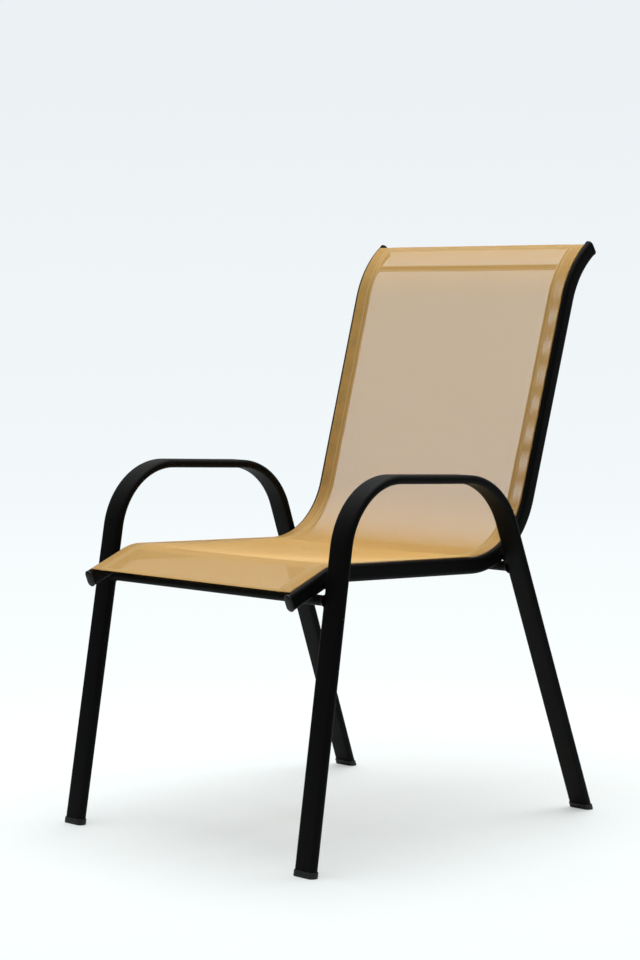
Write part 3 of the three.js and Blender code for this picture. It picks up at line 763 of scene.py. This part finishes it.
class CHAIR_PG_sling(bpy.types.PropertyGroup):
    """Sizes and colours of the mesh sling and what is sewn on it."""

    mesh: FloatVectorProperty(
        name="Mesh", description="Colour of the coated yarn", subtype="COLOR", size=4,
        min=0, max=1, default=linear("#e1b05e"))
    # Colour of the weft ridges: the mesh's colour painted lighter, as painted light for the
    # ridges' shaded flanks.
    core: FloatVectorProperty(
        name="Core yarn", description="Colour of the yarn inside its coating", subtype="COLOR",
        size=4, min=0, max=1, default=linear("#eaba67"))
    thread: FloatVectorProperty(
        name="Thread", description="Colour of the sewing thread", subtype="COLOR", size=4,
        min=0, max=1, default=linear("#ffe9b0"))
    rod: FloatVectorProperty(
        name="Edge rod", description="Colour of the rod in the sling's edge", subtype="COLOR",
        size=4, min=0, max=1, default=linear("#c9a878"))
    pitch: FloatProperty(
        name="Yarn pitch", description="Distance between neighbouring yarns",
        default=0.001, min=0.0008, max=0.003, subtype="DISTANCE", unit="LENGTH")
    yarn: FloatProperty(
        name="Yarn width", description="Width of a coated yarn",
        default=0.00039, min=0.0002, max=0.001, subtype="DISTANCE", unit="LENGTH")
    stitch: FloatProperty(
        name="Stitch length", description="Distance between stitches",
        default=0.0036, min=0.002, max=0.008, subtype="DISTANCE", unit="LENGTH")


class CHAIR_PG_stage(bpy.types.PropertyGroup):
    """The floor's colour and the light."""

    floor: FloatVectorProperty(
        name="Floor", description="Colour of the floor", subtype="COLOR", size=4,
        min=0, max=1, default=linear("#f9fefe"))
    level: FloatProperty(
        name="Light", description="Brightness of the overhead panel, where 1 is white",
        default=3.75, min=0.1, max=20)


# ------------ operators


class CHAIR_OT_side_frames(bpy.types.Operator):
    """Build the two side frames: front leg, armrest and rear leg bent from one tube"""

    bl_idname = "chair.side_frames"
    bl_label = "Side frames"

    def execute(self, context):
        run = FRAME_LINE.stations(0, FRAME_LINE.length, TUBE_STEP)
        points, headings = FRAME_LINE.at(run)
        across, above = flat_oval(LEG_WIDTH, LEG_THICKNESS)
        grid = carried(frame_x(points), points, headings, across, above)
        for row in (0, -1):  # slid along the leg to one height, inside the foot cap
            ahead = np.array([0, headings[row].real, headings[row].imag])
            shift = (FOOT_CAP_SOLE + CLEARANCE - grid[row, :, 2]) / ahead[2]
            grid[row] += shift[:, None] * ahead
        pair("frame_tube", tube(grid), paint_material(context), "side_frame")
        return {"FINISHED"}


class CHAIR_OT_rails(bpy.types.Operator):
    """Build the two slotted rails that hold the sling"""

    bl_idname = "chair.rails"
    bl_label = "Sling rails"

    def execute(self, context):
        bore = slotted_oval(RAIL_WIDTH - 2 * RAIL_WALL, RAIL_DEPTH - 2 * RAIL_WALL, BORE_STEPS)
        outer = slotted_oval(RAIL_WIDTH, RAIL_DEPTH, OUTER_STEPS)
        across, above = np.hstack([outer, bore[:, ::-1]])
        run = RAIL.stations(0, RAIL.length, TUBE_STEP)
        points, headings = RAIL.at(run)
        grid = carried(rail_x(run), points, headings, across, above)
        pair("rail_tube", tube(grid), paint_material(context), "sling_rail")
        return {"FINISHED"}


class CHAIR_OT_crossbars(bpy.types.Operator):
    """Build the two round crossbars, coped round the legs' rounded edges"""

    bl_idname = "chair.crossbars"
    bl_label = "Crossbars"

    def execute(self, context):
        angles = turns(BAR_SIDES)
        for end in JOINTS:
            place, edge, leg = bar_place(end)
            around = BAR_RADIUS * np.exp(1j * angles)
            aside = (around * leg.conjugate()).imag
            radius = LEG_THICKNESS / 2
            reach = edge + np.minimum(
                COPE_DEPTH, radius - np.sqrt(np.maximum(0, radius**2 - aside**2)))
            x = np.linspace(-1, 1, BAR_RINGS)[:, None] * reach
            grid = space(x, place + around[None, :])
            piece(f"{end}_bar", [tube(grid)], paint_material(context),
                  [f"{end}_crossbar"])
        return {"FINISHED"}


class CHAIR_OT_welds(bpy.types.Operator):
    """Build the weld beads where the crossbars and the rails meet the legs"""

    bl_idname = "chair.welds"
    bl_label = "Weld beads"

    def execute(self, context):
        for end in JOINTS:
            self.bar_bead(context, end)
            self.rail_bead(context, end)
        return {"FINISHED"}

    def bar_bead(self, context, end):
        """A fillet round the bar: the radius rises from the bar to the leg as a square,
        with slanted ripples, and the inner side lies on the bar."""
        place, edge, _ = bar_place(end)
        ripples = round(2 * math.pi * BAR_RADIUS / context.scene.chair_frame.ripple)
        angle = turns(RIPPLE_STEPS * ripples)[:, None]
        share = np.linspace(0, 1, BEAD_RINGS)[None, :]
        wave = 0.5 + 0.5 * np.cos(ripples * angle + BEAD_SLANT * share)
        ripple = BEAD_RIPPLE * wave * np.sin(math.pi * share)
        radius = BAR_RADIUS + BEAD_HEIGHT * share**2 + ripple
        x = edge - BEAD_REACH + (BEAD_REACH + COPE_DEPTH) * share
        inner = np.full((len(angle), 2), BAR_RADIUS - BEAD_SINK)
        radius = np.hstack([radius, inner])
        x = np.hstack([x, x[:, [-1, 0]]]).repeat(len(angle), 0)
        grid = space(x, place + radius * np.exp(1j * angle))
        pair(f"bar_bead_{end}", ring(grid), paint_material(context),
             f"bar_weld_{end}", sharp=50)

    def rail_bead(self, context, end):
        """A lump in the pocket under the rail: a ball with ripples round its short axis."""
        point, heading = RAIL.at(JOINTS[end][2])
        low = point - 1j * heading * RAIL_DEPTH / 2 * LUMP_DROP
        x = leg_x(end, low.imag) - LEG_WIDTH / 2 - LUMP_GAP
        tilt = np.linspace(LUMP_POLE, math.pi - LUMP_POLE, LUMP_RINGS)[:, None]
        angle = turns(LUMP_SIDES)[None, :]
        wave = np.cos(LUMP_RIPPLES * angle + LUMP_SLANT * np.cos(tilt))
        radius = LUMP_RADIUS * (1 + LUMP_RIPPLE * wave)
        around = low + radius * np.sin(tilt) * heading * np.exp(1j * angle)
        grid = space(x - radius * np.cos(tilt), around)
        pair(f"rail_bead_{end}", tube(grid), paint_material(context),
             f"rail_weld_{end}", sharp=50)


class CHAIR_OT_rail_caps(bpy.types.Operator):
    """Build the domed caps in the rails' ends"""

    bl_idname = "chair.rail_caps"
    bl_label = "Rail caps"

    def execute(self, context):
        material = cap_material(context)
        for end, run, outward_sign in (("front", 0.0, -1), ("top", RAIL.length, 1)):
            inner_run = run - outward_sign * RAIL_CAP_PLUG
            less = 2 * RAIL_WALL + RAIL_CAP_PLAY
            plug = np.array(flat_oval(RAIL_DEPTH - less, RAIL_WIDTH - less))[::-1]
            plug[1] = np.minimum(plug[1], ROD_LEVEL - ROD_RADIUS - ROD_PLAY)
            flange = np.array(flat_oval(RAIL_DEPTH + 2 * RAIL_CAP_LIP,
                                        RAIL_WIDTH + 2 * RAIL_CAP_LIP))[::-1]
            rows = [(inner_run, plug, 0.0), (run, plug, CLEARANCE),
                    (run, flange * RAIL_CAP_SEAT, CLEARANCE)]
            rows += [(run, flange, CLEARANCE + rise * RAIL_CAP_HEIGHT) for rise in RAIL_CAP_RIM]
            for turn in np.radians(RAIL_CAP_TURNS):
                share = math.cos(turn) ** RAIL_CAP_DOME
                rise = RAIL_CAP_RIM[1] + (1 - RAIL_CAP_RIM[1]) * math.sin(turn)
                rows.append((run, flange * share, CLEARANCE + rise * RAIL_CAP_HEIGHT))
            grid = []
            for at, (across, above), reach in rows:
                point, heading = RAIL.at(at)
                side_view = point + 1j * heading * above + heading * outward_sign * reach
                grid.append(space(rail_x(at) + across, side_view))
            pair(f"rail_end_{end}", tube(np.array(grid)), material,
                 f"rail_cap_{end}")
        return {"FINISHED"}


class CHAIR_OT_foot_caps(bpy.types.Operator):
    """Build the caps that the legs stand on"""

    bl_idname = "chair.foot_caps"
    bl_label = "Foot caps"

    def execute(self, context):
        material = cap_material(context)
        bevel = [(FOOT_CAP_BEVEL * (1 - math.sin(a)), FOOT_CAP_BEVEL * (1 - math.cos(a)))
                 for a in np.radians(FOOT_CAP_TURNS)]
        levels = [(FOOT_CAP_WALL - a, b) for a, b in bevel]
        levels += [(FOOT_CAP_WALL - b, FOOT_CAP_HEIGHT - a) for a, b in bevel]
        levels += [(CLEARANCE, FOOT_CAP_HEIGHT), (CLEARANCE, FOOT_CAP_SOLE)]
        for end, row in (("front", 0), ("rear", -1)):
            point, heading = FRAME_LINE.points[row], FRAME_LINE.headings[row]
            grid = []
            for grow, height in levels:
                across, above = flat_oval(LEG_WIDTH + 2 * grow, LEG_THICKNESS + 2 * grow)
                side_view = point + 1j * heading * above
                side_view = side_view + heading * (height - side_view.imag) / heading.imag
                grid.append(space(frame_x(point) + across, side_view))
            pair(f"foot_{end}", tube(np.array(grid)), material,
                 f"foot_cap_{end}")
        return {"FINISHED"}


class CHAIR_OT_edge_rods(bpy.types.Operator):
    """Build the rods that hold the sling's edges in the rails"""

    bl_idname = "chair.edge_rods"
    bl_label = "Edge rods"

    def execute(self, context):
        material = extruded_rod(context.scene.chair_sling.rod)
        across, above = ellipse(2 * ROD_RADIUS, 2 * ROD_RADIUS, turns(ROD_SIDES))
        run = RAIL.stations(SLING_FROM, SLING_TO, TUBE_STEP)
        points, headings = RAIL.at(run)
        grid = carried(slot_x(run), points, headings, across, ROD_LEVEL + above)
        pair("edge_rod", tube(grid), material, "keder_rod")
        return {"FINISHED"}


class CHAIR_OT_sling(bpy.types.Operator):
    """Build the mesh sling with its side, front and top hems, its band and its stitching"""

    bl_idname = "chair.sling"
    bl_label = "Sling"

    def execute(self, context):
        settings = context.scene.chair_sling
        mesh = coated_mesh("pvc_coated_polyester_mesh", settings.mesh, settings.pitch,
                           settings.yarn, True)
        webbing = coated_mesh("close_woven_band", settings.mesh, settings.pitch / 2,
                              settings.pitch / 2, False)
        grids, uv = sling_grids(FABRIC)
        cloth = piece("sling_cloth", [slab(*grids)], mesh, ["sling"], uv, sharp=60)
        extras = []
        for name, run, inward, depth, ripple in (
            ("sling_front_hem", SLING_FROM, 1, FRONT_HEM, FRONT_RIPPLE),
            ("sling_top_hem", SLING_TO, -1, TOP_HEM, TOP_RIPPLE),
        ):
            grids, hem_uv = folded_hem(run, inward, depth, ripple)
            extras.append(piece(name, [slab(*grids)], mesh, (), hem_uv, sharp=60))
        band_run = np.linspace(-BAND_WIDTH, 0, BAND_LINES)[:, None] + SLING_TO - BAND_DROP
        half = slot_x(band_run) - HEM_WIDTH - 2 * CLEARANCE
        x = np.linspace(-1, 1, BAND_COLUMNS)[None, :] * half
        grids = [on_sling(band_run, x, LOWER_LEVEL + s * FABRIC / 2) for s in (1, -1)]
        extras.append(piece("sling_band", [slab(*grids)], webbing, ["top_band"],
                            face_uv(x, cloth_length(band_run)), sharp=60))
        # The weft ridges take the yarn colour painted lighter than the mesh, standing in for light
        # their flanks miss.
        extras.append(piece("sling_weft_yarns", [weft_yarns(settings.pitch, settings.yarn)],
                            lightened_weft_yarn(settings.core)))
        extras += self.sew(context)
        width = 2 * (float(slot_x(LAP_RUN)) + edge_length())
        return {"FINISHED"}

    def sew(self, context):
        """Rows of stitches on both sides of the hems and along the band's edges."""
        settings = context.scene.chair_sling
        thread = sewing_thread(settings.thread)
        size = (settings.stitch * STITCH_SHARE, STITCH_THICKNESS)
        rows = {}
        run = np.arange(SLING_FROM + ROW_START, SLING_TO - ROW_END, settings.stitch)
        top = FACE_LEVEL + FABRIC / 2
        for hand, side in SIDES.items():
            rows[f"side_hem_stitches_{hand}"] = [
                stitches(run, side * (slot_x(run) - HEM_WIDTH + inset), above, False, *size)
                for inset in SIDE_ROWS for above in (top, STRIP_LEVEL - FABRIC / 2)]
        for name, at in (
            ("front_hem_stitches", SLING_FROM + FRONT_ROW),
            ("top_hem_stitches", SLING_TO - TOP_ROW),
            ("band_stitches_high", SLING_TO - BAND_DROP - BAND_ROW),
            ("band_stitches_low", SLING_TO - BAND_DROP - BAND_WIDTH + BAND_ROW),
        ):
            half = slot_x(at) - HEM_WIDTH - ROW_END
            x = np.arange(-half, half, settings.stitch)
            rows[name] = [stitches(at, x, above, True, *size)
                          for above in (top, LOWER_LEVEL - FABRIC / 2)]
        return [piece(name, parts, thread) for name, parts in rows.items()]


class CHAIR_OT_stage(bpy.types.Operator):
    """Set out the floor, the background, the light and the camera"""

    bl_idname = "chair.stage"
    bl_label = "Stage"

    def execute(self, context):
        self.floor(context)
        self.world(context)
        self.light(context)
        self.camera(context)
        context.scene.view_settings.view_transform = "Standard"
        return {"FINISHED"}

    def floor(self, context):
        """A disc of seamless paper. Far from the chair it takes the background's own level."""
        angles = turns(FLOOR_SIDES)
        points = np.stack([np.cos(angles), np.sin(angles), 0 * angles], axis=1) * FLOOR_RADIUS
        mesh = bpy.data.meshes.new("floor")
        mesh.from_pydata(points, [], [list(range(FLOOR_SIDES))])
        floor = placed("floor", mesh)
        material, tree = new_material("seamless_paper")
        where = object_place(tree)
        distance = vector_value(tree, "LENGTH", where)
        behind = vector_value(tree, "DOT_PRODUCT", where, BACKDROP_SIDE)
        path = add(tree, "ShaderNodeLightPath").outputs
        mirrored_ray = calc(tree, "MAXIMUM", path["Is Glossy Ray"], path["Is Transmission Ray"])
        share = calc(
            tree, "MAXIMUM",
            calc(tree, "MULTIPLY", path["Is Camera Ray"],
                 span(tree, distance, NEAR_GLOW, 1.0, *SEEN_SPAN)),
            calc(tree, "MULTIPLY", mirrored_ray,
                 span(tree, distance, 0.0, 1.0, *MIRRORED_SPAN)))
        paper = add(tree, "ShaderNodeBsdfPrincipled", {
            "Base Color": tuple(context.scene.chair_stage.floor),
            "Roughness": span(tree, noise_at(tree, where, PAPER_SCALE), 0.85, 0.95),
            "Specular IOR Level": 0.2,
        })
        glow = add(tree, "ShaderNodeEmission", {
            "Color": blend(tree, span(tree, distance, 0.0, 1.0, *PALE_SPAN),
                           linear("#faffff"), linear("#f3f9fb")),
            "Strength": calc(tree, "MAXIMUM", path["Is Camera Ray"],
                             span(tree, behind, 0.1, 1.0, 0.0, 1.5)),
        })
        inputs = {0: share, 1: paper.outputs[0], 2: glow.outputs[0]}
        finish_surface(tree, add(tree, "ShaderNodeMixShader", inputs))
        mesh.materials.append(material)

    def world(self, context):
        """Pale where it is seen. As light, bright behind the chair, less above, dim in front."""
        world = bpy.data.worlds.new("studio")
        context.scene.world = world
        world.use_nodes = True
        tree = world.node_tree
        tree.nodes.clear()
        where = add(tree, "ShaderNodeTexCoord").outputs["Generated"]
        behind = vector_value(tree, "DOT_PRODUCT", where, BACKDROP_SIDE)
        height = add(tree, "ShaderNodeSeparateXYZ", {"Vector": where}).outputs[2]
        level = calc(tree, "MAXIMUM", span(tree, behind, DIM_LEVEL, BEHIND_LEVEL, *BEHIND_SPAN),
                     span(tree, behind, FRONT_LEVEL, DIM_LEVEL, *FRONT_SPAN))
        level = calc(tree, "MAXIMUM", level,
                     span(tree, height, 0.0, ABOVE_LEVEL, *ABOVE_SPAN))
        tone = blend(tree, span(tree, height, 0.0, 1.0, *HORIZON_SPAN),
                     linear("#f3f9fb"), linear("#ecf1f4"))
        lit = add(tree, "ShaderNodeBackground", {"Color": linear("#f4f8fb"), "Strength": level})
        seen = add(tree, "ShaderNodeBackground", {"Color": tone, "Strength": 1.0})
        camera_ray = add(tree, "ShaderNodeLightPath").outputs["Is Camera Ray"]
        inputs = {0: camera_ray, 1: lit.outputs[0], 2: seen.outputs[0]}
        mixed = add(tree, "ShaderNodeMixShader", inputs)
        add(tree, "ShaderNodeOutputWorld", {"Surface": mixed.outputs[0]})

    def light(self, context):
        """One large panel overhead. Its power is its level times pi and its area."""
        lamp = bpy.data.lights.new("overhead_panel", "AREA")
        lamp.shape = "SQUARE"
        lamp.size = PANEL_SIZE
        lamp.energy = context.scene.chair_stage.level * math.pi * PANEL_SIZE**2
        placed("overhead_panel", lamp).location = PANEL_PLACE

    def camera(self, context):
        """At the photograph's place, angle and field of view."""
        data = bpy.data.cameras.new("photo_camera")
        data.sensor_width = CAMERA_SENSOR
        data.lens = CAMERA_LENS
        data.clip_end = CAMERA_REACH
        camera = placed("photo_camera", data)
        camera.location = CAMERA_PLACE
        camera.rotation_euler = (math.pi / 2 - CAMERA_TILT, 0, CAMERA_TURN)
        context.scene.camera = camera


def edge_length():
    """Length of the sling's edge beyond the slot's middle, as a line in section."""
    edge = edge_line()
    return float(abs(np.diff(edge)).sum() + edge[0].real)


def paint_material(context):
    """The tubes' one powder coat, made once."""
    found = bpy.data.materials.get("powder_coated_steel")
    return found or powder_coat(tuple(context.scene.chair_frame.paint))


def cap_material(context):
    found = bpy.data.materials.get("moulded_polypropylene")
    return found or moulded_cap(tuple(context.scene.chair_frame.cap))


# ------------ panel and registration


OPERATORS = (
    CHAIR_OT_side_frames, CHAIR_OT_rails, CHAIR_OT_crossbars, CHAIR_OT_welds,
    CHAIR_OT_rail_caps, CHAIR_OT_foot_caps, CHAIR_OT_edge_rods, CHAIR_OT_sling, CHAIR_OT_stage,
)
SETTINGS = {
    "chair_frame": CHAIR_PG_frame, "chair_sling": CHAIR_PG_sling, "chair_stage": CHAIR_PG_stage,
}


class CHAIR_PT_build(bpy.types.Panel):
    """Lists the chair's pieces and their settings"""

    bl_idname = "CHAIR_PT_build"
    bl_label = "Sling patio chair"
    bl_space_type = "VIEW_3D"
    bl_region_type = "UI"
    bl_category = "Chair"

    def draw(self, context):
        for name, group in SETTINGS.items():
            box = self.layout.box()
            for key in group.__annotations__:
                box.prop(getattr(context.scene, name), key)
        for operator in OPERATORS:
            self.layout.operator(operator.bl_idname)


def register():
    for group in SETTINGS.values():
        bpy.utils.register_class(group)
    for name, group in SETTINGS.items():
        setattr(bpy.types.Scene, name, PointerProperty(type=group))
    for operator in (*OPERATORS, CHAIR_PT_build):
        bpy.utils.register_class(operator)


def unregister():
    for operator in (CHAIR_PT_build, *reversed(OPERATORS)):
        bpy.utils.unregister_class(operator)
    for name, group in SETTINGS.items():
        delattr(bpy.types.Scene, name)
        bpy.utils.unregister_class(group)


def main():
    register()
    for operator in OPERATORS:
        getattr(bpy.ops.chair, operator.bl_idname.split(".")[1])()


if __name__ == "__main__":
    main()
